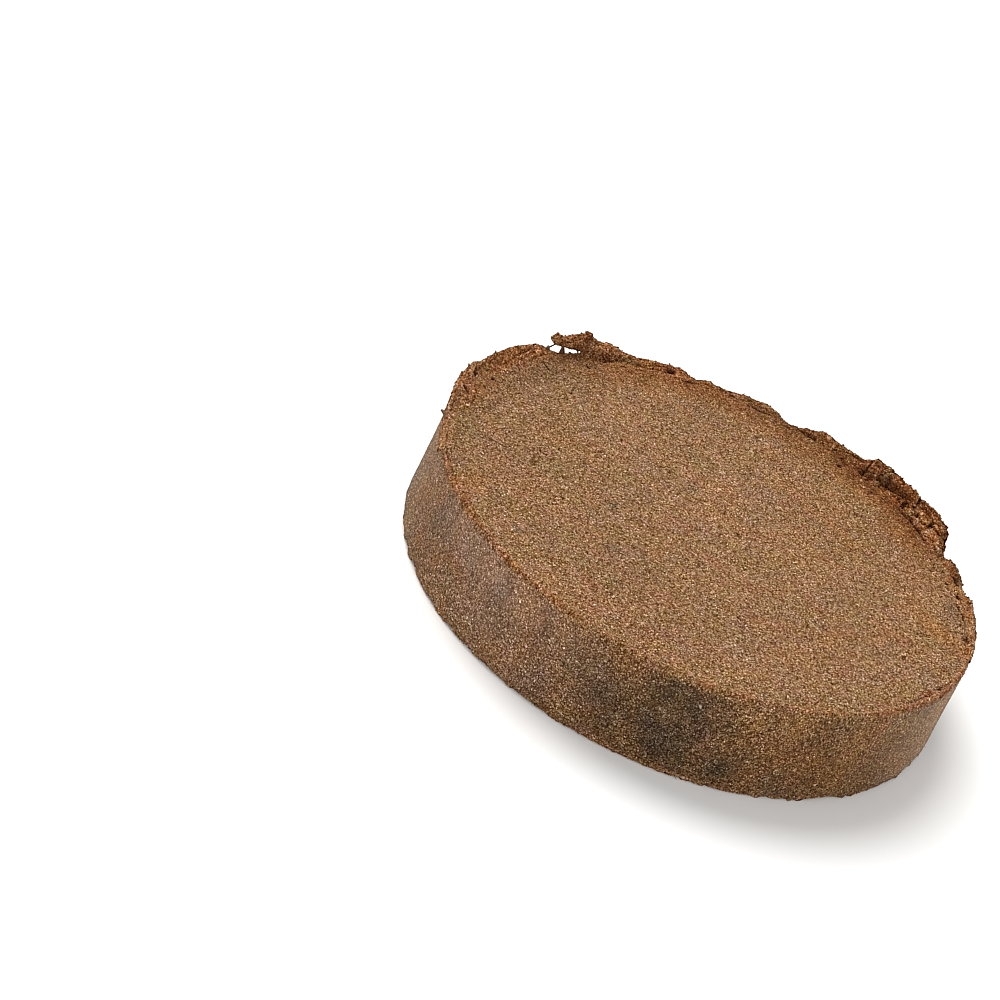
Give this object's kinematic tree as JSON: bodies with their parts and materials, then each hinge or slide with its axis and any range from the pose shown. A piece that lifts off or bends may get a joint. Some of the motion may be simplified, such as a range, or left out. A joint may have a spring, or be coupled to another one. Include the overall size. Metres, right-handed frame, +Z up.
{
  "type": "coconut coir disc",
  "caption": "Flat round block of pressed coconut coir with a smooth mould-made wall, a level grainy face and a torn, crumbly burr along part of its top edge.",
  "frame": {"origin": "middle of the flat underside", "axes": "+Z up, out of the face; -Y is the side that the picture is taken from"},
  "size_m": [0.091, 0.0908, 0.0212],
  "materials": {
    "coir": "dry pressed coir pith, grainy and matt, slightly burnished on the wall"
  },
  "bodies": {
    "root": {"coir_disc": "coir"}
  },
  "joints": []
}
